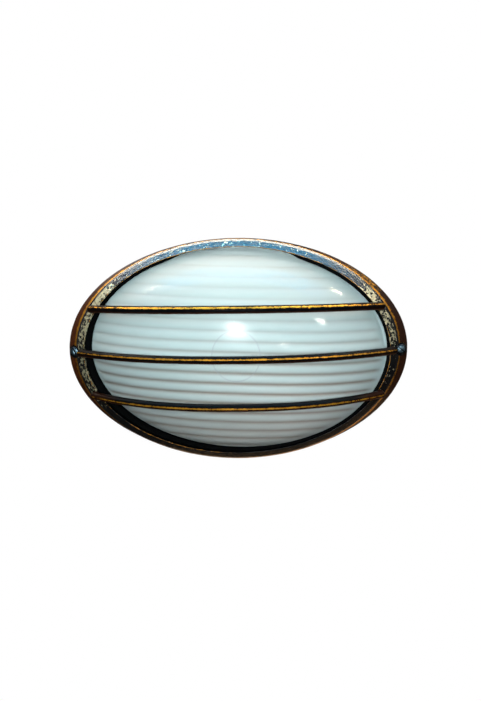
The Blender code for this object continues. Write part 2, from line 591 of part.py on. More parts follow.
def build():
    for obj in list(bpy.data.objects):
        bpy.data.objects.remove(obj)

    cast = material("black_gold_cast", (0.075, 0.055, 0.035), 0.38, 0.85)
    cage_mat = material("black_gold_cage", (0.12, 0.08, 0.035), 0.36, 0.85)
    opal = material("opal_glass", (0.80, 0.84, 0.84), 0.25, 0.0, 1.0, 0.1)
    rubber = material("black_rubber", (0.015, 0.015, 0.016), 0.7, 0.0)
    zinc = material("zinc_steel", (0.55, 0.60, 0.66), 0.3, 1.0)
    bright = material("bright_aluminium", (0.86, 0.87, 0.88), 0.22, 1.0)
    plate = material("plated_steel", (0.62, 0.62, 0.60), 0.35, 1.0)
    porcelain = material("white_porcelain", (0.88, 0.87, 0.83), 0.18, 0.0)
    nickel = material("nickel_brass", (0.78, 0.72, 0.58), 0.28, 1.0)
    brass = material("brass", (0.80, 0.60, 0.28), 0.3, 1.0)
    lamp_mat = material("lamp_glass", (0.93, 0.93, 0.90), 0.3, 0.0)
    nylon = material("white_nylon", (0.86, 0.86, 0.82), 0.45, 0.0)
    brown = material("brown_insulation", (0.20, 0.085, 0.035), 0.5, 0.0)
    blue = material("blue_insulation", (0.03, 0.12, 0.42), 0.5, 0.0)

    back_body(cast)
    cage(cage_mat)
    glass(opal)
    gasket(rubber)

    head_y = SCREW_SEAT_Y - GAP
    screw = slotted_screw("cage_screw_left", SCREW_HEAD_R, SCREW_HEAD_H, SCREW_SHANK_R,
                          SCREW_END_Y - head_y, 1.1, 1.1, 20)
    finish(screw, zinc)
    place(screw, (-SCREW_X, head_y, 0.0), "y", 62.0)
    place(copy_screw(screw, "cage_screw_right"), (SCREW_X, head_y, 0.0), "y", 38.0)

    reflector(bright)
    y = REFLECTOR_Y - REFLECTOR_T - GAP
    small = slotted_screw("reflector_screw_left", 3.1, 1.9, 1.5, 6.2, 0.9, 0.9, 14)
    finish(small, plate)
    place(small, (REFLECTOR_SCREW_X[0], y, 0.0), "y", 25.0)
    place(copy_screw(small, "reflector_screw_right"), (REFLECTOR_SCREW_X[1], y, 0.0), "y", 70.0)

    bracket(zinc)
    y = FOOT_Y - PLATE_T - GAP
    foot = copy_screw(small, "bracket_screw_upper")
    place(foot, (BRACKET_SCREW_X, y, BRACKET_SCREW_Z), "y", 10.0)
    place(copy_screw(small, "bracket_screw_lower"), (BRACKET_SCREW_X, y, -BRACKET_SCREW_Z), "y", 50.0)

    holder_body(porcelain)
    hs = slotted_screw("holder_screw_front", 2.8, 1.8, 1.4, 7.5, 0.8, 0.8, 14)
    finish(hs, plate)
    x = LEG_X - PLATE_T - GAP
    place(hs, (x, AXIS_Y - 11.0, 0.0), "x", 30.0)
    place(copy_screw(hs, "holder_screw_rear"), (x, AXIS_Y + 11.0, 0.0), "x", 75.0)

    finish(tube("screw_shell", "x", (AXIS_Y, 0.0), -78.2, -56.4, BORE_R - GAP, 13.4, 24), nickel)
    finish(turned("centre_contact", "x", (AXIS_Y, 0.0),
                  [(-83.2, 5.6), (-82.4, 5.6), (-80.6, 4.6), (-79.0, 4.2), (-78.3, 3.2)], 16), brass)

    for side, word in ((1, "live"), (-1, "neutral")):
        lo, hi = sorted((side * 17.5, side * 22.5))
        term = box("holder_terminal_" + word, (-92.4, AXIS_Y - 3.6, lo), (-84.6, AXIS_Y + 3.6, hi))
        hole = cylinders("h", "z", [((-88.5, AXIS_Y), side * 19.0, side * 30.0, 1.45)], 14)
        boolean(term, hole, "DIFFERENCE")
        finish(term, brass)
    ts = slotted_screw("holder_terminal_screw_live", 2.5, 1.5, 1.15, 3.0, 0.7, 0.7, 12)
    finish(ts, plate)
    place(ts, (-88.5, AXIS_Y, 22.5 + GAP), "-z", 20.0)
    place(copy_screw(ts, "holder_terminal_screw_neutral"), (-88.5, AXIS_Y, -22.5 - GAP), "z", 55.0)

    lamp(lamp_mat)

    terminal_block(nylon)
    insert("terminal_insert_live", 1, brass)
    insert("terminal_insert_neutral", -1, brass)
    tip = POLE_Y - 1.6
    ps = slotted_screw("terminal_screw_live_in", 1.8, 1.4, 0.85, 1.4, 0.6, 0.7, 12)
    finish(ps, plate)
    seats = [("terminal_screw_live_in", 5.5, 1, 15.0), ("terminal_screw_live_out", -5.5, 1, 80.0),
             ("terminal_screw_neutral_in", 5.5, -1, 40.0), ("terminal_screw_neutral_out", -5.5, -1, 120.0)]
    for name, dx, side, turn in seats:
        obj = ps if name == ps.name else copy_screw(ps, name)
        place(obj, (BLOCK_X + dx, tip - 1.4, side * POLE_Z), "y", turn)
    bs = slotted_screw("terminal_block_screw", 2.6, 1.7, 1.2, 6.9, 0.7, 0.8, 14)
    finish(bs, plate)
    place(bs, (BLOCK_X, -9.0 - GAP, 0.0), "y", 35.0)

    finish(tube("earth_washer", "y", EARTH_XZ, -6.7, -7.7, 4.6, 2.3, 20), brass)
    es = slotted_screw("earth_screw", 3.6, 2.2, 1.9, 5.8, 1.0, 1.0, 18)
    finish(es, brass)
    place(es, (EARTH_XZ[0], -8.0, EARTH_XZ[1]), "y", 60.0)

    gx = GROMMET_XZ
    loops = [circle("y", gx, r, 24, p) for p, r in (
        (-0.4, 5.4), (-0.8, 5.7), (-FLOOR - GAP, 5.7), (-FLOOR - GAP, 8.2), (-5.0, 8.2), (-6.0, 7.2),
        (-7.4, 5.0), (-7.4, 3.6), (-0.4, 3.6))]
    finish(lofted("cable_grommet", loops, ring=True), rubber)

    def route(side):
        s = side
        return [(BLOCK_X - 9.5, POLE_Y, s * POLE_Z), (BLOCK_X - 14.5, POLE_Y, s * POLE_Z),
                (70.0, -7.6, s * 8.0), (65.5, -5.7, s * 12.0), (54.0, -5.6, s * 15.0),
                (20.0, -5.6, s * 16.0), (-30.0, -5.6, s * 16.5), (-58.0, -5.6, s * 18.5),
                (-68.0, -7.2, s * 22.0), (-77.0, -13.5, s * 25.5), (-84.0, -23.0, s * 25.0),
                (-88.2, -30.5, s * 21.3), (-88.5, AXIS_Y + 3.6 + GAP, s * 20.0)]
    wire("live_lead", route(1), 1.15, brown, 38)
    wire("neutral_lead", route(-1), 1.15, blue, 38)


build()
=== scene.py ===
"""Oval caged wall light in black and antique gold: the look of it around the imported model."""
import math

import bmesh
import bpy
import numpy as np
from mathutils import Matrix, Vector

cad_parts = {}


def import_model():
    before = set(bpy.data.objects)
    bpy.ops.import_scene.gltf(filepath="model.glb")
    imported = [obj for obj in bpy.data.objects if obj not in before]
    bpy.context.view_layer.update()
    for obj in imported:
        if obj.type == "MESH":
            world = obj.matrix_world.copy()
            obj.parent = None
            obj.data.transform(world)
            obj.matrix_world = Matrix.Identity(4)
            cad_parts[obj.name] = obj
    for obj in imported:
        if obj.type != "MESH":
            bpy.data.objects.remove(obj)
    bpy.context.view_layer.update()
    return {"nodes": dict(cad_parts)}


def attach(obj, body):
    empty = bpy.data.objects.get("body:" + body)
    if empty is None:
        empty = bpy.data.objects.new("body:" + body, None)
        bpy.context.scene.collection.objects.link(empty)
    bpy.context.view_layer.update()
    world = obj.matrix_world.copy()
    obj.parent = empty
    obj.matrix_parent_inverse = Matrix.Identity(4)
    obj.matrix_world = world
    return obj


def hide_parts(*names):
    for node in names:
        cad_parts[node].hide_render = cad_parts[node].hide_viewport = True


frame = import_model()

MM = 0.001
NODES = frame["nodes"]


# ------------------------------------------------------------------ numbers
GLASS_TURN = math.radians(-2.2)
DOME_A, DOME_B, DOME_FOOT, DOME_RISE, DOME_POWER = 115.0, 78.7, -48.2, 35.0, 3.17
RIB_PITCH, RIB_VALLEY, RIB_HEIGHT = 7.9, 3.5, 0.72
SCREW_X, SCREW_SEAT = 127.0, -49.2
BAR_FOOT, BAR_RZ, BAR_RY, BAR_POWER = -54.9, 2.95, 3.3, 2.36
BARS = [("mid", 124.6, 0.0, 0.0, 41.5), ("top", 113.1, 34.0, 2.4, 37.4), ("low", 113.1, -34.0, -2.4, 37.4)]


# ------------------------------------------------------------ solid noise
def hashed(ix, iy, iz, seed):
    h = (ix * 374761393 + iy * 668265263 + iz * 2147483647 + seed * 1274126177) & 0xFFFFFFFF
    h = ((h ^ (h >> 13)) * 1274126177) & 0xFFFFFFFF
    h = (h ^ (h >> 16)) & 0xFFFFFFFF
    return h.astype(np.float64) / 4294967295.0


def noise3(p, cell, seed=0):
    """Smooth value noise from -1 to 1; p in mm, cell the lattice size in mm."""
    q = p / cell
    i = np.floor(q).astype(np.int64)
    f = q - i
    f = f * f * f * (f * (f * 6 - 15) + 10)
    out = 0.0
    for dx in (0, 1):
        wx = f[:, 0] if dx else 1 - f[:, 0]
        for dy in (0, 1):
            wy = f[:, 1] if dy else 1 - f[:, 1]
            for dz in (0, 1):
                wz = f[:, 2] if dz else 1 - f[:, 2]
                out = out + wx * wy * wz * hashed(i[:, 0] + dx, i[:, 1] + dy, i[:, 2] + dz, seed)
    return out * 2 - 1


def hammer(p, cell, seed=0):
    """Distance to the nearest scattered point, 0 to about 1: shallow round dents."""
    q = p / cell
    i = np.floor(q).astype(np.int64)
    best = np.full(len(p), 9.0)
    for dx in (-1, 0, 1):
        for dy in (-1, 0, 1):
            for dz in (-1, 0, 1):
                c = i + np.array([dx, dy, dz])
                jit = np.stack([hashed(c[:, 0], c[:, 1], c[:, 2], seed + k) for k in (1, 2, 3)], 1)
                best = np.minimum(best, ((c + jit - q) ** 2).sum(1))
    return np.sqrt(best)


def step(a, b, x):
    t = np.clip((x - a) / (b - a), 0.0, 1.0)
    return t * t * (3 - 2 * t)


# ------------------------------------------------------------ mesh helpers
def grid_faces(rows, cols, wrap_rows=False, wrap_cols=False, start=0):
    r = np.arange(rows if wrap_rows else rows - 1)
    c = np.arange(cols if wrap_cols else cols - 1)
    R, C = np.meshgrid(r, c, indexing="ij")
    a = R * cols + C
    b = R * cols + (C + 1) % cols
    d = ((R + 1) % rows) * cols + C
    e = ((R + 1) % rows) * cols + (C + 1) % cols
    return (np.stack([a, b, e, d], -1).reshape(-1, 4) + start).tolist()


def make_object(name, verts_mm, faces, attrs=None, smooth=True, sharp=None):
    me = bpy.data.meshes.new(name)
    me.from_pydata((np.asarray(verts_mm, float) * MM).tolist(), [], faces)
    me.validate()
    bm = bmesh.new()
    bm.from_mesh(me)
    bmesh.ops.recalc_face_normals(bm, faces=bm.faces)
    bm.to_mesh(me)
    bm.free()
    for key, values in (attrs or {}).items():
        values = np.asarray(values, np.float32)
        at = me.attributes.new(key, "FLOAT" if values.ndim == 1 else "FLOAT_VECTOR", "POINT")
        at.data.foreach_set("value" if values.ndim == 1 else "vector", values.reshape(-1))
    if smooth:
        me.shade_smooth()
    if sharp:
        me.set_sharp_from_angle(angle=math.radians(sharp))
    ob = bpy.data.objects.new(name, me)
    bpy.context.scene.collection.objects.link(ob)
    return ob


def grid_normals(P, wrap_r, wrap_c):
    def diff(A, axis, wrap):
        if wrap:
            return np.roll(A, -1, axis) - np.roll(A, 1, axis)
        D = np.empty_like(A)
        sl = [slice(None)] * 3
        def at(s):
            q = list(sl); q[axis] = s; return tuple(q)
        D[at(slice(1, -1))] = A[at(slice(2, None))] - A[at(slice(None, -2))]
        D[at(0)] = A[at(1)] - A[at(0)]
        D[at(-1)] = A[at(-1)] - A[at(-2)]
        return D
    n = np.cross(diff(P, 0, wrap_r), diff(P, 1, wrap_c))
    return n / np.maximum(np.linalg.norm(n, axis=2, keepdims=True), 1e-12)


# ------------------------------------------------------------ node helper
class Shader:
    """A material with one Principled shader and short ways to add nodes."""

    def __init__(self, name, **sockets):
        self.mat = bpy.data.materials.new(name)
        self.mat.use_nodes = True
        self.tree = self.mat.node_tree
        self.bsdf = self.tree.nodes["Principled BSDF"]
        for k, v in sockets.items():
            self.set(k, v)

    NAMES = dict(color="Base Color", metallic="Metallic", rough="Roughness", ior="IOR",
                 spec="Specular IOR Level", coat="Coat Weight", coat_rough="Coat Roughness",
                 sss="Subsurface Weight", sss_radius="Subsurface Radius", sss_scale="Subsurface Scale",
                 trans="Transmission Weight", sheen="Sheen Weight", sheen_rough="Sheen Roughness",
                 normal="Normal", alpha="Alpha", emit="Emission Color", emit_power="Emission Strength",
                 coat_normal="Coat Normal", aniso="Anisotropic")

    def set(self, key, value):
        sock = self.bsdf.inputs[self.NAMES[key]]
        if isinstance(value, bpy.types.NodeSocket):
            self.tree.links.new(value, sock)
        elif isinstance(value, (tuple, list)) and len(sock.default_value) == 4:
            sock.default_value = (*value[:3], 1.0)
        else:
            sock.default_value = value

    def node(self, kind, values=None, **props):
        n = self.tree.nodes.new(kind)
        for k, v in props.items():
            setattr(n, k, v)
        for k, v in (values or {}).items():
            if isinstance(v, bpy.types.NodeSocket):
                self.tree.links.new(v, n.inputs[k])
            elif isinstance(v, (tuple, list)) and len(n.inputs[k].default_value) == 4 and len(v) == 3:
                n.inputs[k].default_value = (*v, 1.0)
            else:
                n.inputs[k].default_value = v
        return n

    def coords(self, scale=(1, 1, 1), turn=(0, 0, 0)):
        tc = self.node("ShaderNodeTexCoord")
        m = self.node("ShaderNodeMapping", {"Vector": tc.outputs["Object"], "Scale": scale, "Rotation": turn})
        return m.outputs[0]

    def noise(self, scale, detail=2.0, rough=0.5, vec=None, distortion=0.0):
        n = self.node("ShaderNodeTexNoise", {"Vector": vec if vec is not None else self.coords(),
                                              "Scale": scale, "Detail": detail, "Roughness": rough,
                                              "Distortion": distortion})
        return n.outputs["Fac"]

    def cells(self, scale, vec=None, smooth=None, feature="F1"):
        n = self.node("ShaderNodeTexVoronoi", {}, feature=feature)
        n.inputs["Scale"].default_value = scale
        if smooth is not None:
            n.inputs["Smoothness"].default_value = smooth
        self.tree.links.new(vec if vec is not None else self.coords(), n.inputs["Vector"])
        return n.outputs["Distance"]

    def attr(self, name):
        return self.node("ShaderNodeAttribute", attribute_name=name).outputs["Fac"]

    def math(self, op, a, b=None, c=None, clamp=False):
        n = self.node("ShaderNodeMath", operation=op, use_clamp=clamp)
        for i, v in enumerate((a, b, c)):
            if v is None:
                continue
            if isinstance(v, bpy.types.NodeSocket):
                self.tree.links.new(v, n.inputs[i])
            else:
                n.inputs[i].default_value = v
        return n.outputs[0]

    def ramp(self, x, lo, hi, out=(0.0, 1.0), smooth=True):
        n = self.node("ShaderNodeMapRange", {"Value": x, "From Min": lo, "From Max": hi, "To Min": out[0],
                                              "To Max": out[1]}, clamp=True,
                      interpolation_type="SMOOTHSTEP" if smooth else "LINEAR")
        return n.outputs[0]

    def mix(self, f, a, b):
        """Mix of two colours, or of two numbers."""
        colour = any(isinstance(v, (tuple, list)) or (isinstance(v, bpy.types.NodeSocket) and v.type == "RGBA")
                     for v in (a, b))
        n = self.node("ShaderNodeMix", data_type="RGBA" if colour else "FLOAT")
        ia, ib, out = (6, 7, 2) if colour else (2, 3, 0)
        for i, v in ((0, f), (ia, a), (ib, b)):
            if isinstance(v, bpy.types.NodeSocket):
                self.tree.links.new(v, n.inputs[i])
            elif isinstance(v, (tuple, list)):
                n.inputs[i].default_value = (*v[:3], 1.0)
            else:
                n.inputs[i].default_value = v
        return n.outputs[out]

    def bump(self, height, strength, distance, normal=None):
        vals = {"Height": height, "Strength": strength, "Distance": distance}
        if normal is not None:
            vals["Normal"] = normal
        return self.node("ShaderNodeBump", vals).outputs[0]


# --------------------------------------------------------------- materials
def cast_patina(name, with_attrs, coat=1.0, spec=0.9, gloss=(0.17, 0.27), dent=0.6, speck=1.0, tone=1.0, grainy=1.0, leaf=1.0):
    """Glossy black enamel over a hammered casting, antique gold rubbed on edges and crests; part of that gold is
    painted highlight, and the cream flecks are painted reflection.
    """
    s = Shader(name, spec=spec, coat=coat, coat_rough=0.14)
    fine = s.noise(1100.0, 3.0, 0.65)
    mid = s.noise(300.0, 2.0, 0.5)
    big = s.noise(45.0, 2.0, 0.5)
    dents = s.cells(640.0)
    if with_attrs:
        rub = s.attr("rub")
        skirt = s.attr("skirt")
        reflection_mottle = s.attr("reflection_mottle")
    else:
        rub, skirt, reflection_mottle = 0.0, 0.35, 0.0
    # gold where the high spots are rubbed, and painted highlight where the attribute places it, broken up by the grain
    # of the casting
    grain = s.math("ADD", s.math("MULTIPLY", s.math("SUBTRACT", fine, 0.5), 1.6 * grainy),
                   s.math("MULTIPLY", s.math("SUBTRACT", mid, 0.5), 0.9))
    broken = s.math("MULTIPLY", grain, s.ramp(rub, 0.10, 0.38, (0.06, 1.0))) if with_attrs else s.math("MULTIPLY", grain, 0.6)
    gold = s.ramp(s.math("ADD", rub, broken), 0.34, 0.66)
    # painted reflection: cream mottling, massed at the ends of the ring where the side lights' reflections fall
    blots = s.math("ADD", s.math("MULTIPLY", s.math("SUBTRACT", fine, 0.5), 0.9),
                   s.math("MULTIPLY", s.math("SUBTRACT", s.noise(430.0, 1.5, 0.5), 0.5), 1.5))
    blots = s.math("MULTIPLY", blots, s.ramp(reflection_mottle, 0.0, 0.3) if with_attrs else 0.0)
    fleck = s.math("ADD", s.math("MULTIPLY", reflection_mottle, 0.55), s.math("ADD", 0.5, s.math("MULTIPLY", blots, 0.8)))
    flecks = s.ramp(fleck, 0.84, 0.98)
    black = s.mix(big, (0.0012, 0.0018, 0.0030), (0.0034, 0.0032, 0.0034))
    brown = s.mix(mid, (0.042, 0.0080, 0.0022), (0.145, 0.034, 0.0062))
    base = s.mix(skirt, black, brown)
    goldc = s.mix(mid, (0.50 * tone, 0.185 * tone, 0.012 * tone), (0.78 * tone, 0.36 * tone, 0.035 * tone))
    cream_reflection = s.mix(fine, (0.62, 0.50, 0.26), (0.86, 0.78, 0.55))
    color = s.mix(gold, base, goldc)
    color = s.mix(s.math("MULTIPLY", flecks, 0.92), color, cream_reflection)
    s.set("color", color)
    metal = s.math("MAXIMUM", s.math("MULTIPLY", gold, leaf), s.math("MULTIPLY", flecks, 0.55))
    s.set("metallic", metal)
    s.set("rough", s.mix(metal, s.mix(mid, *gloss), s.mix(fine, 0.36, 0.50)))
    n1 = s.bump(dents, dent, 0.00025)
    n2 = s.bump(fine, speck, 0.00021, n1)
    s.set("normal", n2)
    s.set("coat_normal", n2)
    return s.mat


def opal_material():
    s = Shader("opal_satin", rough=0.42, coat=0.35, coat_rough=0.12, sss=0.85,
               sss_radius=(1.0, 1.0, 1.0), sss_scale=0.0022, spec=0.12)
    streak = s.noise(26.0, 3.0, 0.55, s.coords((0.5, 1.0, 9.0)))
    cloud = s.noise(16.0, 2.0, 0.5)
    valley = s.attr("valley")
    height = s.attr("height")
    line = s.attr("line")
    light = s.mix(streak, (0.73, 0.83, 0.84), (0.80, 0.86, 0.86))
    valley_shade = s.mix(cloud, (0.42, 0.33, 0.28), (0.38, 0.34, 0.32))
    low = s.ramp(height, 0.75, 0.15)
    # painted shade: the rib valleys are darkened with a warm grey, more strongly toward the bottom of the dome
    f = s.math("MULTIPLY", valley, s.math("ADD", s.math("MULTIPLY", low, 1.2), 0.14, clamp=True))
    color = s.mix(f, light, valley_shade)
    # painted light: the dome turns paler toward its top edge
    color = s.mix(s.math("MULTIPLY", s.ramp(height, 0.80, 0.98), 0.8), color, (0.93, 0.95, 0.92))
    # painted shade: the lower part of the dome is darkened to a warm brown-grey, more toward the bottom, broken up by
    # cloud noise
    lower_shade = s.math("MULTIPLY", s.ramp(height, 0.52, 0.0), s.ramp(cloud, 0.2, 0.8, (0.75, 1.0)))
    color = s.mix(s.math("MULTIPLY", lower_shade, 0.72), color, (0.46, 0.385, 0.350))
    color = s.mix(s.math("MULTIPLY", line, 0.60), color, (0.55, 0.55, 0.60))
    s.set("color", color)
    s.set("rough", s.mix(cloud, 0.38, 0.48))
    s.set("normal", s.bump(s.noise(700.0, 2.0, 0.6), 0.06, 0.0001))
    skin = s.node("ShaderNodeAttribute", attribute_name="skin").outputs["Vector"]
    skin = s.node("ShaderNodeVectorTransform", {"Vector": skin}, vector_type="NORMAL", convert_from="OBJECT",
                  convert_to="WORLD").outputs[0]
    s.set("coat_normal", s.bump(s.noise(500.0, 2.0, 0.6), 0.10, 0.0001, skin))
    return s.mat


def rubber_material(name="black_rubber"):
    s = Shader(name, spec=0.02)
    n = s.noise(420.0, 3.0, 0.6)
    s.set("color", s.mix(n, (0.0014, 0.0016, 0.0020), (0.0052, 0.0050, 0.0052)))
    s.set("rough", s.mix(n, 0.5, 0.72))
    s.set("normal", s.bump(s.noise(1600.0, 2.0, 0.6), 0.3, 0.00008))
    return s.mat


def metal_material(name, a, b, rough=(0.22, 0.38), scale=300.0, brushed=None, metallic=1.0, bump=0.15):
    s = Shader(name, metallic=metallic)
    vec = s.coords(brushed) if brushed else None
    n = s.noise(scale, 3.0, 0.6, vec)
    m = s.noise(60.0, 2.0, 0.5)
    s.set("color", s.mix(s.math("MULTIPLY", s.math("ADD", n, m), 0.5), a, b))
    s.set("rough", s.mix(n, rough[0], rough[1]))
    s.set("normal", s.bump(n, bump, 0.0001))
    return s.mat


def plain_material(name, a, b, rough=(0.3, 0.5), scale=300.0, bump=0.1, **kw):
    s = Shader(name, **kw)
    n = s.noise(scale, 3.0, 0.6)
    m = s.noise(50.0, 2.0, 0.5)
    s.set("color", s.mix(s.math("MULTIPLY", s.math("ADD", n, m), 0.5), a, b))
    s.set("rough", s.mix(n, rough[0], rough[1]))
    s.set("normal", s.bump(n, bump, 0.0001))
    return s.mat


CAST = cast_patina("cast_black_gold", True, 1.0, 0.35)
CAST_BAR = cast_patina("cast_bar_gold", True, 0.03, 0.03, (0.28, 0.40), 0.4, 0.6, 1.0, 0.9, 0.62)
CAST_SKIRT = cast_patina("cast_brown_skirt", True, 0.05, 0.14, (0.32, 0.46), 0.5, 0.5)
CAST_WALL = cast_patina("cast_black_wall", True, 0.0, 0.0, (0.5, 0.65), 0.3, 0.3)


def body_material():
    """Hammered bronze-black enamel of the back body, coarser and duller than the ring's."""
    s = Shader("cast_black_body", spec=0.4, coat=0.15, coat_rough=0.3)
    big = s.noise(38.0, 3.0, 0.55)
    mid = s.noise(210.0, 3.0, 0.55)
    fine = s.noise(900.0, 3.0, 0.65)
    dents = s.cells(520.0, None, 0.6, "SMOOTH_F1")
    crest = s.ramp(s.math("ADD", s.math("MULTIPLY", dents, 0.7), s.math("MULTIPLY", fine, 0.8)), 0.62, 0.86)
    dark = s.mix(big, (0.0045, 0.0042, 0.0042), (0.017, 0.0095, 0.0062))
    bronze = s.mix(mid, (0.050, 0.022, 0.009), (0.105, 0.055, 0.021))
    s.set("color", s.mix(s.math("MULTIPLY", crest, 0.42), dark, bronze))
    s.set("metallic", s.math("MULTIPLY", crest, 0.5))
    s.set("rough", s.mix(mid, 0.34, 0.52))
    n = s.bump(fine, 0.4, 0.00015, s.bump(dents, 0.8, 0.0004, s.bump(mid, 0.5, 0.0003)))
    s.set("normal", n)
    s.set("coat_normal", n)
    return s.mat


CAST_BODY = body_material()
OPAL = opal_material()
RUBBER = rubber_material()
STEEL = metal_material("zinc_steel", (0.42, 0.50, 0.60), (0.66, 0.72, 0.80))
SCREW = metal_material("blued_steel", (0.030, 0.075, 0.105), (0.19, 0.28, 0.33), (0.24, 0.38), 900.0, bump=0.6)
# painted shade: near-black steel on the screw heads' rims and slots, standing in for the shade in the wells and slots
SCREW_SHADE = metal_material("painted_shade_steel", (0.006, 0.008, 0.011), (0.035, 0.045, 0.055), (0.34, 0.5), 900.0, bump=0.5)
ALU = metal_material("bright_aluminium", (0.78, 0.79, 0.80), (0.92, 0.93, 0.94), (0.16, 0.3), 90.0, (1.0, 1.0, 14.0))
PLATED = metal_material("plated_steel", (0.50, 0.50, 0.48), (0.70, 0.70, 0.67))
PORCELAIN = plain_material("white_porcelain", (0.80, 0.79, 0.75), (0.88, 0.87, 0.84), (0.10, 0.22), 120.0, 0.06, coat=0.5, coat_rough=0.06)
NICKEL = metal_material("nickel_brass", (0.66, 0.60, 0.46), (0.82, 0.77, 0.64))
BRASS = metal_material("brass", (0.66, 0.46, 0.18), (0.84, 0.64, 0.30))
LAMP = plain_material("lamp_glass", (0.86, 0.86, 0.83), (0.93, 0.93, 0.91), (0.22, 0.34), 80.0, 0.03, coat=0.6, coat_rough=0.05)
NYLON = plain_material("white_nylon", (0.78, 0.78, 0.73), (0.88, 0.88, 0.84), (0.38, 0.55), 500.0, 0.15)
BROWN = plain_material("brown_insulation", (0.13, 0.052, 0.022), (0.22, 0.095, 0.042), (0.4, 0.55), 700.0, 0.1)
BLUE = plain_material("blue_insulation", (0.022, 0.085, 0.33), (0.04, 0.14, 0.48), (0.4, 0.55), 700.0, 0.1)


def repaint(node, mat):
    ob = NODES[node]
    if not ob.material_slots:
        ob.data.materials.append(mat)
    for slot in ob.material_slots:
        slot.material = mat


# ------------------------------------------------------------------- cage
def rounded_profile(points, spacing):
    """Closed run of (a, b, y, corner cut, spacing) as many (a, b, y) with round corners."""
    n = len(points)
    P = [np.array(p[:3], float) for p in points]
    out = []
    for i in range(n):
        p, q, r = P[i - 1], P[i], P[(i + 1) % n]
        cut = points[i][3]
        u = (p - q) / np.linalg.norm(p - q)
        w = (r - q) / np.linalg.norm(r - q)
        a, b = q + u * cut, q + w * cut
        k = max(3, int(math.ceil(2.2 * cut / min(points[i][4], points[i - 1][4]))))
        arc = [(1 - t) ** 2 * a + 2 * t * (1 - t) * q + t * t * b for t in np.linspace(0, 1, k)]
        out += arc
        nxt_cut = points[(i + 1) % n][3]
        c = r - w * nxt_cut
        length = np.linalg.norm(c - b)
        m = int(length / points[i][4])
        for j in range(1, m):
            out.append(b + (c - b) * j / m)
    return np.array(out)


FACE_OUT = np.array([124.9, 86.0, -52.9])
FACE_IN = np.array([118.2, 80.25, -57.5])
RING = [
    (132.5, 86.3, -39.3, 0.35, 1.2), (132.5, 86.3, -45.9, 1.4, 0.5), (125.6, 86.2, -51.9, 0.7, 0.42),
    (123.7, 84.75, -54.0, 0.55, 0.42), (118.15, 80.2, -57.5, 0.65, 0.6), (118.2, 80.3, -50.3, 0.3, 1.6),
    (123.2, 84.1, -50.3, 0.6, 1.6),
    (130.5, 84.4, -44.4, 0.6, 1.6), (130.5, 84.4, -39.3, 0.3, 1.0),
]


def ellipse_rho(x, z, a, b):
    return np.sqrt((x / a) ** 2 + (z / b) ** 2)


def ring_front(x, z):
    """Height y of the ring's skirt and face over a point, as 132.5 rim to 118 inner edge."""
    stops = [(132.5, 86.3, -45.3), (131.6, 86.25, -46.7), (125.6, 86.2, -51.9), (123.7, 84.75, -54.0),
             (118.8, 80.9, -57.1), (118.1, 80.2, -57.4)]
    y = np.full(x.shape, 0.0)
    rho = [ellipse_rho(x, z, a, b) for a, b, _ in stops]
    for k in range(len(stops) - 1):
        r0, r1 = rho[k], rho[k + 1]
        f = np.clip((1 - r0) / np.maximum(r1 - r0, 1e-9), 0, 1)
        inside = (r0 <= 1) & (r1 >= 1)
        y = np.where(inside, stops[k][2] + f * (stops[k + 1][2] - stops[k][2]), y)
    inside = (rho[-1] < 1)
    return y, inside


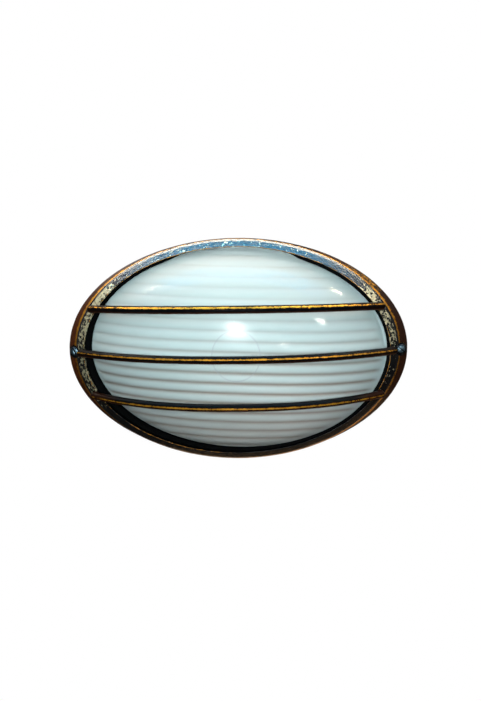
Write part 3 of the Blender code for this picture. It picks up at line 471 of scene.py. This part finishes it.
def build_cage():
    prof = rounded_profile(RING, 0.6)
    m = len(prof)
    # angles: finer at the two ends, where the screw wells are
    base = np.linspace(0, 2 * math.pi, 20001)[:-1]
    speed = np.sqrt((125 * np.sin(base)) ** 2 + (84 * np.cos(base)) ** 2)
    near = np.minimum(np.abs(np.sin(base)) * 84.0, 99) + np.where(np.abs(np.cos(base)) > 0.5, 0, 99)
    density = speed * (1.0 / 0.95 + (1 / 0.33 - 1 / 0.95) * (1 - step(6.0, 9.0, near)))
    cum = np.concatenate([[0], np.cumsum(density)])
    total = int(cum[-1] * (base[1] - base[0]))
    total += total % 2
    t = np.interp(np.linspace(0, cum[-1], total + 1)[:-1], cum, np.linspace(0, 2 * math.pi, 20001))
    c, s = np.cos(t), np.sin(t)
    P = np.stack([np.outer(c, prof[:, 0]), np.tile(prof[:, 2], (total, 1)), np.outer(s, prof[:, 1])], -1)
    N = grid_normals(P, True, True)
    mid = P.mean((0, 1))
    ref = P - np.stack([np.outer(c, np.full(m, 125.0)), np.full((total, m), -48.5), np.outer(s, np.full(m, 83.0))], -1)
    if (N * ref).sum() < 0:
        N = -N
    tags_a = np.tile(prof[:, 0], (total, 1))
    tags_y = np.tile(prof[:, 2], (total, 1))
    pts = P.reshape(-1, 3)
    nor = N.reshape(-1, 3)
    front = (nor[:, 1] < -0.15).astype(float)
    seen = np.where((tags_y < -50.4) | (tags_a > 131.0), 1.0, 0.0).reshape(-1)
    # hammered skin
    d = (hammer(pts, 2.3, 5) - 0.55) * 0.10 + noise3(pts, 5.5, 2) * 0.05 + noise3(pts, 1.6, 9) * 0.02
    wellr = np.minimum(np.hypot(pts[:, 0] - SCREW_X, pts[:, 2]), np.hypot(pts[:, 0] + SCREW_X, pts[:, 2]))
    d *= seen * step(4.6, 5.4, wellr)
    edge = np.minimum(132.45 - np.abs(pts[:, 0]), 1.0)
    pts = pts + nor * np.minimum(d, 0.04)[:, None]
    pts[:, 0] = np.clip(pts[:, 0], -132.5, 132.5)
    pts[:, 2] = np.clip(pts[:, 2], -86.3, 86.3)
    # wells: the skin sinks to a flat seat round each screw, or rises to it on the low side
    w = step(4.72, 4.28, wellr) * (nor[:, 1] < -0.05) * (tags_y.reshape(-1) < -45.4)
    pts[:, 1] = pts[:, 1] * (1 - w) + SCREW_SEAT * w
    # where the gold is rubbed, by the distance to the ring's edges, plus a painted highlight on the upper rim of each
    # screw well
    a, y = tags_a.reshape(-1), tags_y.reshape(-1)
    def near_edge(pa, py, width):
        return np.exp(-(((a - pa) ** 2 + (y - py) ** 2) / width ** 2))
    side = np.abs(c)[:, None].repeat(m, 1).reshape(-1)
    upper = s[:, None].repeat(m, 1).reshape(-1)
    upness = upper                       # 1 at the top of the oval, -1 at the bottom
    xx, zz = pts[:, 0], pts[:, 2]
    turn = np.degrees(np.arctan2(-zz, xx)) % 360          # 0 right, 90 bottom, 180 left, 270 top
    def around(*pairs):
        return np.interp(turn, pairs[0::2], pairs[1::2])
    worn = noise3(pts, 2.6, 31) * 0.5 + noise3(pts, 7.0, 33) * 0.5
    rub = near_edge(125.7, -51.7, 0.75) * around(0, .55, 15, .7, 30, .82, 60, .6, 95, .48, 110, .40, 140, .42, 155, .85,
                                               200, .8, 212, .85, 300, .8, 325, .85, 345, .8, 360, .55)
    rub += near_edge(124.9, -52.7, 0.6) * around(0, 0, 8, .35, 20, .85, 60, .85, 85, .72, 100, .5, 140, .42, 150, .2, 165, 0, 360, 0)
    rub += 0.6 * near_edge(126.7, -50.9, 1.1) * around(0, .35, 12, .2, 30, 0, 140, .3, 155, 1, 195, 1, 210, .5, 225, 0, 330, 0, 345, .5, 360, .35)
    rub += near_edge(118.3, -57.3, 0.42) * (around(0, .62, 16, .66, 24, .1, 92, .12, 102, .62, 142, .62, 150, .3, 165, .6,
                                                 212, .5, 225, .9, 300, .9, 320, .5, 335, .8, 360, .5) + 0.25 * worn)
    rub += 0.30 * near_edge(132.2, -46.0, 0.6) * step(0.2, -0.4, upness)
    # painted shade: the gold is taken out of the screw wells; a painted highlight is laid on the upper half of each
    # well's rim
    rub = rub * step(4.4, 5.6, wellr) + 0.42 * np.exp(-((wellr - 5.0) / 0.25) ** 2) * (zz > -1.5)
    outer = (a > 125.9) * (y < -44.0)
    rub += outer * (around(0, 0, 290, 0, 305, .30, 335, .34, 352, .12, 360, 0) + around(0, 0, 185, 0, 200, .22, 216, .26, 235, 0, 360, 0))
    skirt = step(125.5, 126.6, a) + step(124.9, 125.5, a) * (1 - step(125.5, 126.6, a)) * (zz < 0)
    # painted shade: no brown inside the screw wells, so they stay black
    skirt *= around(0, .40, 40, .38, 60, .22, 125, .22, 150, .75, 175, 1, 200, 1, 215, .8, 300, .6, 330, .45, 345, .35, 360, .40) * step(4.6, 6.0, wellr)
    inner = (a < 118.9) & (y > -57.0)
    face = (a <= 123.9) & (y < -53.6)
    # painted reflection: cream flecks on the ring's face, strongest at both ends where the side lights reflect
    reflection_mott = face * around(0, .42, 4, .20, 8, .33, 14, .26, 20, .12, 28, 0, 150, 0, 158, .3, 164, .62, 172, .74, 178, .66, 184, .74,
                         193, .74, 197, .85, 200, 1., 204, .98, 208, .72, 213, .30, 240, .35, 270, .34, 298, .28, 322, .20,
                         332, .22, 336, .84, 341, .92, 345, .66, 351, .70, 356, .62, 360, .42)
    rub = np.where(inner, 0.0, rub)
    V = [pts]
    F = grid_faces(total, m, True, True)
    wall = int(np.argmax((prof[:, 0] < 118.6) & (prof[:, 2] > -56.7)))      # inner wall and back
    bevel = int(np.argmax((prof[:, 0] < 125.9) & (prof[:, 2] < -51.5)))
    finish = np.tile(np.where(np.arange(m) >= wall - 1, 1, np.where(np.arange(m) < bevel, 3, 0)), total).tolist()
    RUB_AND_HIGHLIGHT, SKIRT, REFLECTION_MOTT = [rub], [skirt], [reflection_mott]
    count = len(pts)
    for name, half, z0, spread, bulge in BARS:
        reach = (half - (3.9 if name == "mid" else 1.6)) / half
        n, k = 300, 32
        u = np.linspace(-1, 1, n + 1)
        ts = np.sin(math.pi / 2 * u * 0.86) / math.sin(math.pi / 2 * 0.86) * reach
        def centre(tt):
            g = 1 - np.abs(tt) ** BAR_POWER
            return np.stack([half * tt, BAR_FOOT - bulge * g, z0 + spread * g], -1)
        C = centre(ts)
        T = centre(np.minimum(ts + 1e-3, 1)) - centre(np.maximum(ts - 1e-3, -1))
        T /= np.linalg.norm(T, axis=1, keepdims=True)
        ends_lo = [(-1.9, 0.42), (-1.65, 0.66), (-1.2, 0.85), (-0.6, 0.96)]
        C = np.concatenate([[C[0] + T[0] * e for e, _ in ends_lo], C, [C[-1] - T[-1] * e for e, _ in reversed(ends_lo)]])
        T = np.concatenate([[T[0]] * 4, T, [T[-1]] * 4])
        scale = np.concatenate([[q for _, q in ends_lo], np.ones(n + 1), [q for _, q in reversed(ends_lo)]])
        up = np.array([0, 0, 1.0]) - T[:, 2:3] * T
        up /= np.linalg.norm(up, axis=1, keepdims=True)
        out = np.cross(T, up)
        th = np.linspace(0, 2 * math.pi, k + 1)[:-1]
        S = (BAR_RZ * np.sin(th))[None, :, None] * up[:, None] + (BAR_RY * np.cos(th))[None, :, None] * out[:, None]
        B = C[:, None] + scale[:, None, None] * S
        bp = B.reshape(-1, 3)
        bn = (S / np.array(1.0)).reshape(-1, 3)
        bn = bn / np.linalg.norm(bn, axis=1, keepdims=True)
        dd = (hammer(bp, 2.1, 15) - 0.55) * 0.10 + noise3(bp, 6.0, 21) * 0.06
        dd = np.where(bn[:, 1] < -0.5, np.minimum(dd, 0.0), dd)
        # fillet where the bar runs into the ring's face
        yf, inside = ring_front(bp[:, 0], bp[:, 2])
        h = (yf - bp[:, 1])
        R = 1.5
        flare = np.where((h > -0.4) & (h < R) & (~inside), R - np.sqrt(np.maximum(R * R - (R - np.clip(h, 0, R)) ** 2, 0)), 0.0)
        flare *= 0.75 * (np.abs(bp[:, 0]) < half - 0.5)
        move = bn * dd[:, None]
        side_dir = bn.copy(); side_dir[:, 1] = 0
        side_dir /= np.maximum(np.linalg.norm(side_dir, axis=1, keepdims=True), 1e-6)
        move += side_dir * flare[:, None] * np.abs(bn[:, 2:3])
        bp = bp + move
        bp[:, 1] = np.maximum(bp[:, 1], -99.7)
        first = count
        V.append(bp)
        F += grid_faces(len(C), k, False, True, first)
        F.append([first + i for i in range(k)])
        F.append([first + (len(C) - 1) * k + i for i in reversed(range(k))])
        finish += [2] * (len(F) - len(finish))
        thd = np.degrees(np.tile(th, len(C)))
        thd = (thd + 180) % 360 - 180
        xr = bp[:, 0] / half
        # painted highlight: each bar's gold band is centred at the angle where that bar's highlight falls, over rubbed
        # gold
        highlight_focus, width, amount = {"top": (34.0, 17.0, 0.80), "mid": (15.0, 11.5, 0.88), "low": (-7.0, 12.0, 0.92)}[name]
        g = np.exp(-(((thd - highlight_focus) / width) ** 2) * 1.0)
        fadeends = 1 - 0.35 * step(0.55, 0.98, np.abs(xr))
        RUB_AND_HIGHLIGHT.append(np.clip(g * 1.05 * amount * fadeends, 0, 1))
        SKIRT.append(np.full(len(bp), 0.6) * step(-15, -60, thd) + (0.25 if name == "low" else 0.06) * step(0.75, 0.95, np.abs(xr)))
        REFLECTION_MOTT.append(np.zeros(len(bp)))
        count += len(bp)
    ob = make_object("cage_casting", np.concatenate(V), F,
                     {"rub": np.concatenate(RUB_AND_HIGHLIGHT), "skirt": np.clip(np.concatenate(SKIRT), 0, 1),
                      "reflection_mottle": np.concatenate(REFLECTION_MOTT)})
    for mat in (CAST, CAST_WALL, CAST_BAR, CAST_SKIRT):
        ob.data.materials.append(mat)
    ob.data.polygons.foreach_set("material_index", finish)
    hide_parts("cage")
    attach(ob, "cage")
    return ob


# ------------------------------------------------------------------ glass
def dome_y(x, z, a=DOME_A, b=DOME_B, foot=DOME_FOOT, rise=DOME_RISE):
    rho = np.minimum(ellipse_rho(x, z, a, b), 1.0)
    return foot - rise * (1 - rho ** DOME_POWER)


def zipper(loop_a, loop_b, ang_a, ang_b, faces):
    """Triangles between two closed loops of different counts, walking by angle."""
    ia = np.argsort(ang_a % (2 * math.pi), kind="stable")
    ib = np.argsort(ang_b % (2 * math.pi), kind="stable")
    la, lb = [loop_a[i] for i in ia], [loop_b[i] for i in ib]
    aa, ab = (ang_a % (2 * math.pi))[ia], (ang_b % (2 * math.pi))[ib]
    i = j = 0
    na, nb = len(la), len(lb)
    while i < na or j < nb:
        an = aa[(i + 1) % na] + (2 * math.pi if i + 1 >= na else 0)
        bn = ab[(j + 1) % nb] + (2 * math.pi if j + 1 >= nb else 0)
        if j >= nb or (i < na and an <= bn):
            faces.append([la[i % na], la[(i + 1) % na], lb[j % nb]])
            i += 1
        else:
            faces.append([lb[j % nb], la[i % na], lb[(j + 1) % nb]])
            j += 1


CIRCLE = (1.9, 0.6, 18.0, 19.1)     # mould line on the crown: centre x, z and half axes


def build_glass():
    per = 13
    step_z = RIB_PITCH / per
    k0 = math.ceil((-DOME_B + 1.6 - RIB_VALLEY) / step_z)
    k1 = math.floor((DOME_B - 1.6 - RIB_VALLEY) / step_z)
    zs = [RIB_VALLEY + k * step_z for k in range(k0, k1 + 1)]
    lo = [-DOME_B + q for q in (0.12, 0.4, 0.85)]
    hi = [DOME_B - q for q in (0.85, 0.4, 0.12)]
    zs = np.array([v for v in lo if v < zs[0] - 0.2] + zs + [v for v in hi if v > zs[-1] + 0.2])
    inner = np.arange(-21.0, 23.01, 0.62)
    left = np.linspace(-DOME_A, -21.0, 44)[:-1]
    right = np.linspace(23.0, DOME_A, 44)[1:]
    us = np.concatenate([left, inner, right]) / DOME_A
    us = np.sort(np.concatenate([us, [-0.994, -0.985, 0.985, 0.994]]))
    us[0], us[-1] = -1.0, 1.0
    half = DOME_A * np.sqrt(np.maximum(1 - (zs / DOME_B) ** 2, 0))
    X = np.outer(half, us)
    Z = np.repeat(zs[:, None], len(us), 1)
    rho = ellipse_rho(X, Z, DOME_A, DOME_B)
    Y = dome_y(X, Z)
    e = 0.05
    nx = (dome_y(X + e, Z) - dome_y(X - e, Z)) / (2 * e)
    nz = (dome_y(X, Z + e) - dome_y(X, Z - e)) / (2 * e)
    L = np.sqrt(nx ** 2 + nz ** 2 + 1)
    fade = np.clip((1 - rho) / 0.05, 0, 1)
    rib = np.abs(np.sin(math.pi * (Z - RIB_VALLEY) / RIB_PITCH))
    sink = RIB_HEIGHT * (rib - 1) * fade
    # the glass frame is turned in its seat; the mould line is placed in the wall frame
    ct, st = math.cos(-GLASS_TURN), math.sin(-GLASS_TURN)
    WX, WZ = X * ct + Z * st, -X * st + Z * ct
    cr = ellipse_rho(WX - CIRCLE[0], WZ - CIRCLE[1], CIRCLE[2], CIRCLE[3])
    line = np.exp(-(((cr - 1) * 17.3) / 0.34) ** 2)
    sink = sink - 0.10 * line
    P = np.stack([X + nx / L * sink, Y - sink / L, Z + nz / L * sink], -1)
    verts = P.reshape(-1, 3)
    rows, cols = X.shape
    faces = grid_faces(rows, cols)
    valley = np.exp(-(np.minimum(rib, 1) / 0.58) ** 2) * fade
    at_valley, at_line = valley.reshape(-1), line.reshape(-1)
    at_h = (WZ / (2 * DOME_B) + 0.5).reshape(-1)
    extra = [[0, DOME_FOOT, -DOME_B], [0, DOME_FOOT, DOME_B]]
    n_out = len(verts)
    low, top = n_out, n_out + 1
    for c in range(cols - 1):
        faces.append([low, c + 1, c])
        faces.append([top, (rows - 1) * cols + c, (rows - 1) * cols + c + 1])
    border = [low] + [r * cols + cols - 1 for r in range(rows)] + [top] + [r * cols for r in reversed(range(rows))]
    n = 180
    tt = np.linspace(0, 2 * math.pi, n + 1)[:-1]
    def loop(a, b, y):
        yy = np.full(n, y) if np.isscalar(y) else y
        return np.stack([a * np.cos(tt), yy, b * np.sin(tt)], -1)
    loops = [loop(116.7, 80.6, DOME_FOOT), loop(117.05, 80.95, DOME_FOOT + 0.15), loop(117.2, 81.1, DOME_FOOT + 0.5),
             loop(117.2, 81.1, -45.1), loop(117.05, 80.95, -44.9), loop(116.9, 80.8, -44.8),
             loop(112.3, 76.0, -44.8)]
    ia, ib = DOME_A - 3.0, DOME_B - 3.0
    for f in (0.995, 0.985, 0.965, 0.94, 0.90, 0.85, 0.79, 0.71, 0.61, 0.49, 0.36, 0.22, 0.08):
        x, z = ia * f * np.cos(tt), ib * f * np.sin(tt)
        loops.append(np.stack([x, dome_y(x, z, ia, ib, -44.8, DOME_RISE + 0.4), z], -1))
    all_v = [verts, np.array(extra)] + loops
    verts = np.concatenate(all_v)
    ring_start = n_out + 2
    ids = np.array(border)
    zipper(border, list(range(ring_start, ring_start + n)),
           np.arctan2(verts[ids, 2] / DOME_B, verts[ids, 0] / DOME_A),
           np.arctan2(np.sin(tt), np.cos(tt)), faces)
    for k in range(len(loops) - 1):
        for i in range(n):
            j = (i + 1) % n
            a, b = ring_start + k * n, ring_start + (k + 1) * n
            faces.append([a + i, a + j, b + j, b + i])
    last = ring_start + (len(loops) - 1) * n
    faces.append([last + i for i in range(n)])
    pad = len(verts) - n_out
    at_valley = np.concatenate([at_valley, np.zeros(pad)])
    at_line = np.concatenate([at_line, np.zeros(pad)])
    at_h = np.concatenate([at_h, verts[n_out:, 2] / (2 * DOME_B) + 0.5])
    skin = np.stack([nx / L, -1 / L, nz / L], -1).reshape(-1, 3)
    rest = verts[n_out:] * np.array([1 / DOME_A ** 2, 0, 1 / DOME_B ** 2])
    rest[:, 1] = -0.004
    skin = np.concatenate([skin, rest / np.linalg.norm(rest, axis=1, keepdims=True)])
    for field in (verts, skin):
        x, z = field[:, 0].copy(), field[:, 2].copy()
        field[:, 0] = x * ct + z * st
        field[:, 2] = -x * st + z * ct
    ob = make_object("opal_dome", verts, faces, {"valley": at_valley, "line": at_line, "height": at_h, "skin": skin}, sharp=60)
    ob.data.materials.append(OPAL)
    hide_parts("glass_diffuser")
    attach(ob, "cage")
    return ob


# ----------------------------------------------------------------- screws
def build_cage_screw(node, body, x, turn):
    """Slotted steel head with a soft dome and rounded slot, on its shank."""
    seg = 72
    seat = SCREW_SEAT - 0.3
    prof = [(-28.0, 0.0), (-28.0, 1.2), (-28.9, 1.6), (-29.4, 1.95), (seat, 1.95), (seat, 3.35), (seat - 0.12, 3.55),
            (seat - 0.3, 3.6), (seat - 1.35, 3.6), (seat - 1.62, 3.52), (seat - 1.9, 3.25), (seat - 2.08, 2.8),
            (seat - 2.2, 2.1), (seat - 2.27, 1.2), (seat - 2.3, 0.0)]
    bm = bmesh.new()
    rings = []
    for y, r in prof:
        if r == 0.0:
            rings.append([bm.verts.new((0, y, 0))])
        else:
            rings.append([bm.verts.new((r * math.cos(2 * math.pi * i / seg), y, r * math.sin(2 * math.pi * i / seg)))
                          for i in range(seg)])
    for a, b in zip(rings, rings[1:]):
        for i in range(seg):
            j = (i + 1) % seg
            if len(a) == 1:
                bm.faces.new((a[0], b[j], b[i]))
            elif len(b) == 1:
                bm.faces.new((a[i], a[j], b[0]))
            else:
                bm.faces.new((a[i], a[j], b[j], b[i]))
    bmesh.ops.recalc_face_normals(bm, faces=bm.faces)
    bmesh.ops.scale(bm, vec=(MM, MM, MM), verts=bm.verts)
    me = bpy.data.meshes.new("fastener_" + body)
    bm.to_mesh(me)
    bm.free()
    ob = bpy.data.objects.new("fastener_" + body, me)
    bpy.context.scene.collection.objects.link(ob)
    bm = bmesh.new()
    bmesh.ops.create_cube(bm, size=1.0)
    for v in bm.verts:
        v.co = Vector((v.co.x * 10.0, v.co.y * 3.0 + (seat - 2.3 + 1.1 - 1.5), v.co.z * 1.1)) * MM
    cm = bpy.data.meshes.new("slot_cut")
    bm.to_mesh(cm)
    bm.free()
    cut = bpy.data.objects.new("slot_cut", cm)
    bpy.context.scene.collection.objects.link(cut)
    mod = ob.modifiers.new("slot", "BOOLEAN")
    mod.operation, mod.solver, mod.object = "DIFFERENCE", "EXACT", cut
    bev = ob.modifiers.new("soft", "BEVEL")
    bev.width, bev.segments, bev.limit_method, bev.angle_limit = 0.00012, 2, "ANGLE", math.radians(40)
    bpy.context.view_layer.update()
    new = bpy.data.meshes.new_from_object(ob.evaluated_get(bpy.context.evaluated_depsgraph_get()))
    ob.modifiers.clear()
    ob.data = new
    dark = []                                   # painted shade: the head's edge and its slot take a near-black steel for the shade of the well and the slot
    for f in new.polygons:
        r, z = math.hypot(f.center.x, f.center.z) / MM, abs(f.center.z) / MM
        dark.append(1 if (r > 3.0 or z < 0.60) and f.center.y / MM < seat + 0.1 else 0)
    bpy.data.objects.remove(cut)
    ob.data.transform(Matrix.Translation((x * MM, 0, 0)) @ Matrix.Rotation(math.radians(turn), 4, "Y"))
    ob.data.shade_smooth()
    ob.data.set_sharp_from_angle(angle=math.radians(38))
    ob.data.materials.clear()
    ob.data.materials.append(SCREW)
    ob.data.materials.append(SCREW_SHADE)
    ob.data.polygons.foreach_set("material_index", dark)
    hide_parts(node)
    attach(ob, body)
    return ob


build_cage()
build_glass()
build_cage_screw("cage_screw_left", "left_screw", -SCREW_X, 62.0)
build_cage_screw("cage_screw_right", "right_screw", SCREW_X, 38.0)

# ------------------------------------------- finishes of the carried-over nodes
for node, mat in {
    "back_body": CAST_BODY, "glass_gasket": RUBBER, "reflector": ALU,
    "reflector_screw_left": PLATED, "reflector_screw_right": PLATED, "lampholder_bracket": STEEL,
    "bracket_screw_upper": PLATED, "bracket_screw_lower": PLATED, "lampholder_body": PORCELAIN,
    "holder_screw_front": PLATED, "holder_screw_rear": PLATED, "screw_shell": NICKEL,
    "centre_contact": BRASS, "holder_terminal_live": BRASS, "holder_terminal_neutral": BRASS,
    "holder_terminal_screw_live": PLATED, "holder_terminal_screw_neutral": PLATED, "lamp": LAMP,
    "terminal_block": NYLON, "terminal_block_screw": PLATED, "terminal_insert_live": BRASS,
    "terminal_insert_neutral": BRASS, "terminal_screw_live_in": PLATED, "terminal_screw_live_out": PLATED,
    "terminal_screw_neutral_in": PLATED, "terminal_screw_neutral_out": PLATED, "earth_screw": BRASS,
    "earth_washer": BRASS, "live_lead": BROWN, "neutral_lead": BLUE, "cable_grommet": RUBBER,
}.items():
    repaint(node, mat)


# ----------------------------------------------------- floor, light, camera
def floor():
    n = 96
    bm = bmesh.new()
    rings = []
    for r in (0.02, 0.15, 0.3, 0.42, 0.48, 0.5):
        y = 0.0 if r < 0.45 else -(r - 0.45) ** 2 * 2
        rings.append([bm.verts.new((r * math.cos(2 * math.pi * i / n), r * math.sin(2 * math.pi * i / n), y)) for i in range(n)])
    bm.faces.new(rings[0])
    for a, b in zip(rings, rings[1:]):
        for i in range(n):
            j = (i + 1) % n
            bm.faces.new((a[i], b[i], b[j], a[j]))
    bmesh.ops.recalc_face_normals(bm, faces=bm.faces)
    me = bpy.data.meshes.new("floor")
    bm.to_mesh(me)
    bm.free()
    ob = bpy.data.objects.new("floor", me)
    bpy.context.scene.collection.objects.link(ob)
    ob.location = (0, -0.06, -0.60)
    s = Shader("pale_floor", spec=0.1, rough=0.9)
    s.set("color", s.mix(s.noise(3.0, 2.0), (0.86, 0.86, 0.86), (0.90, 0.90, 0.90)))
    ob.data.materials.append(s.mat)
    ob.visible_glossy = False


def softbox(name, at, aim, size, radiance, colour, kind="", shape="RECTANGLE"):
    """Rectangular light; kind "gloss" shows only in reflections, "soft" only in diffuse light."""
    la = bpy.data.lights.new(name, "AREA")
    la.shape = shape
    la.size, la.size_y = size[0] * MM, size[1] * MM
    la.energy = radiance * math.pi * la.size * la.size_y
    la.color = colour
    ob = bpy.data.objects.new(name, la)
    bpy.context.scene.collection.objects.link(ob)
    at, aim = Vector(at) * MM, Vector(aim) * MM
    z = (at - aim).normalized()
    x = Vector((1, 0, 0))
    x = (x - x.dot(z) * z)
    if x.length < 0.3:
        x = Vector((0, 1, 0)) - Vector((0, 1, 0)).dot(z) * z
    x.normalize()
    y = z.cross(x)
    m = Matrix((x, y, z)).transposed().to_4x4()
    m.translation = at
    ob.matrix_world = m
    ob.visible_diffuse = kind != "gloss"
    ob.visible_glossy = kind != "soft"
    return ob


def spot(name, at, aim, power, colour, angle):
    """Small pool of diffuse light with a fully soft edge."""
    la = bpy.data.lights.new(name, "SPOT")
    la.energy, la.color = power, colour
    la.spot_size, la.spot_blend, la.shadow_soft_size = math.radians(angle), 1.0, 0.06
    ob = bpy.data.objects.new(name, la)
    bpy.context.scene.collection.objects.link(ob)
    at, aim = Vector(at) * MM, Vector(aim) * MM
    ob.rotation_euler = (aim - at).to_track_quat("-Z", "Y").to_euler()
    ob.location = at
    ob.visible_glossy = False


def world():
    w = bpy.data.worlds.new("studio")
    bpy.context.scene.world = w
    w.use_nodes = True
    t = w.node_tree
    bg = t.nodes["Background"]
    tc = t.nodes.new("ShaderNodeTexCoord")
    sep = t.nodes.new("ShaderNodeSeparateXYZ")
    t.links.new(tc.outputs["Generated"], sep.inputs[0])
    ramp = t.nodes.new("ShaderNodeValToRGB")
    ramp.color_ramp.elements[0].position = 0.30
    ramp.color_ramp.elements[0].color = (0.030, 0.026, 0.022, 1)
    ramp.color_ramp.elements[1].position = 1.0
    ramp.color_ramp.elements[1].color = (0.20, 0.25, 0.30, 1)
    mid = ramp.color_ramp.elements.new(0.55)
    mid.color = (0.10, 0.10, 0.10, 1)
    m = t.nodes.new("ShaderNodeMapRange")
    m.inputs["From Min"].default_value = -1.0
    t.links.new(sep.outputs["Z"], m.inputs["Value"])
    t.links.new(m.outputs[0], ramp.inputs[0])
    lp = t.nodes.new("ShaderNodeLightPath")
    mix = t.nodes.new("ShaderNodeMix")
    mix.data_type = "RGBA"
    t.links.new(lp.outputs["Is Camera Ray"], mix.inputs[0])
    t.links.new(ramp.outputs[0], mix.inputs[6])
    mix.inputs[7].default_value = (1, 1, 1, 1)
    t.links.new(mix.outputs[2], bg.inputs["Color"])


def camera():
    az, el, roll, dist, focal = math.radians(3.53), math.radians(9.08), math.radians(-1.02), 650.0, 878.0
    aim = Vector((5.39, -82.0, 4.85))
    pos = aim + dist * Vector((math.sin(az) * math.cos(el), -math.cos(az) * math.cos(el), math.sin(el)))
    fwd = (aim - pos).normalized()
    right = fwd.cross(Vector((0, 0, 1))).normalized()
    up = right.cross(fwd)
    r2 = right * math.cos(roll) + up * math.sin(roll)
    u2 = up * math.cos(roll) - right * math.sin(roll)
    cam = bpy.data.cameras.new("camera")
    cam.sensor_width = 36.0
    cam.lens = focal * 36.0 / 701.0
    cam.clip_start = 0.01
    cam.clip_end = 50.0
    ob = bpy.data.objects.new("camera", cam)
    bpy.context.scene.collection.objects.link(ob)
    m = Matrix((r2, u2, -fwd)).transposed().to_4x4()
    m.translation = pos * MM
    ob.matrix_world = m
    bpy.context.scene.camera = ob


floor()
world()
camera()
bpy.context.scene.view_settings.view_transform = "Standard"
for k, (dy, tone) in enumerate(((-455, 11.0), (-335, 12.5), (-215, 11.0))):
    softbox("overhead_%d" % k, (-50, dy, 900), (-50, dy, 0), (1240, 62), tone * 1.25, (0.08, 0.57, 1.0), "gloss")
softbox("overhead_left", (-860, -340, 900), (-860, -340, 0), (380, 380), 1.8, (0.14, 0.36, 1.0), "gloss")
softbox("overhead_right", (700, -420, 900), (700, -420, 0), (260, 420), 3.4, (0.18, 0.50, 1.0), "gloss")
softbox("rim", (-180, 150, 900), (-180, 150, 0), (1700, 260), 21.0, (1.0, 0.94, 0.80), "gloss")
softbox("left_card", (-1150, -400, 420), (0, -60, 20), (500, 380), 0.8, (1.0, 0.88, 0.66), "gloss")
softbox("right_card", (1150, -620, 480), (0, -60, 20), (420, 420), 0.8, (1.0, 0.90, 0.72), "gloss")
softbox("key", (35, -723, 125), (0, -70, 0), (140, 140), 36.2, (0.72, 0.97, 1.0), "soft")
softbox("key_high", (0, -700, 480), (0, -70, 0), (500, 300), 2.5, (0.88, 1.0, 1.0), "soft")
softbox("top_front", (0, -520, 950), (0, -70, 0), (1400, 500), 0.9, (1.0, 0.86, 0.66), "soft")
softbox("top", (0, -300, 1100), (0, -70, 0), (1600, 500), 0.7, (1.0, 0.50, 0.26), "soft")
spot("pool", (-30, -730, 120), (-10, -80, 28), 4.6, (0.85, 1.0, 1.0), 15.0)
spot("pool_low", (60, -730, 40), (44, -76, -40), 4.6, (1.0, 0.90, 0.87), 13.0)
softbox("low_strip", (160, 230, -560), (60, -50, -80), (900, 200), 1.1, (1.0, 0.62, 0.30), "gloss")
softbox("back_fill", (-500, 900, 500), (0, -40, 0), (900, 700), 3.0, (1.0, 0.98, 0.95), "soft")
softbox("back_low", (500, 900, -150), (0, -40, 0), (700, 500), 1.6, (1.0, 0.98, 0.95), "soft")
softbox("back_gloss", (-700, 1000, 300), (0, -40, 0), (700, 900), 1.2, (1.0, 0.98, 0.95), "gloss")
softbox("flash", (-42, -900, 40), (2, -83, 20), (46, 160), 58.0, (0.95, 0.99, 1.0), "gloss", "ELLIPSE")
softbox("flash_halo", (-42, -910, 40), (2, -83, 20), (135, 270), 9.0, (0.93, 0.98, 1.0), "gloss", "ELLIPSE")
softbox("glint_high", (716, -122, 702), (78, -57, 46), (110, 76), 88.0, (1.0, 0.88, 0.62), "gloss")
softbox("glint_left", (-655, -250, 715), (-66, -63, 49), (170, 80), 22.0, (1.0, 0.90, 0.70), "gloss", "ELLIPSE")
softbox("glint_low", (609, -700, 350), (64, -73, 27), (90, 90), 72.0, (1.0, 0.95, 0.80), "gloss", "ELLIPSE")
softbox("glint_mid", (194, -970, -42), (36, -82, 10), (56, 64), 26.0, (1.0, 0.98, 0.92), "gloss", "ELLIPSE")
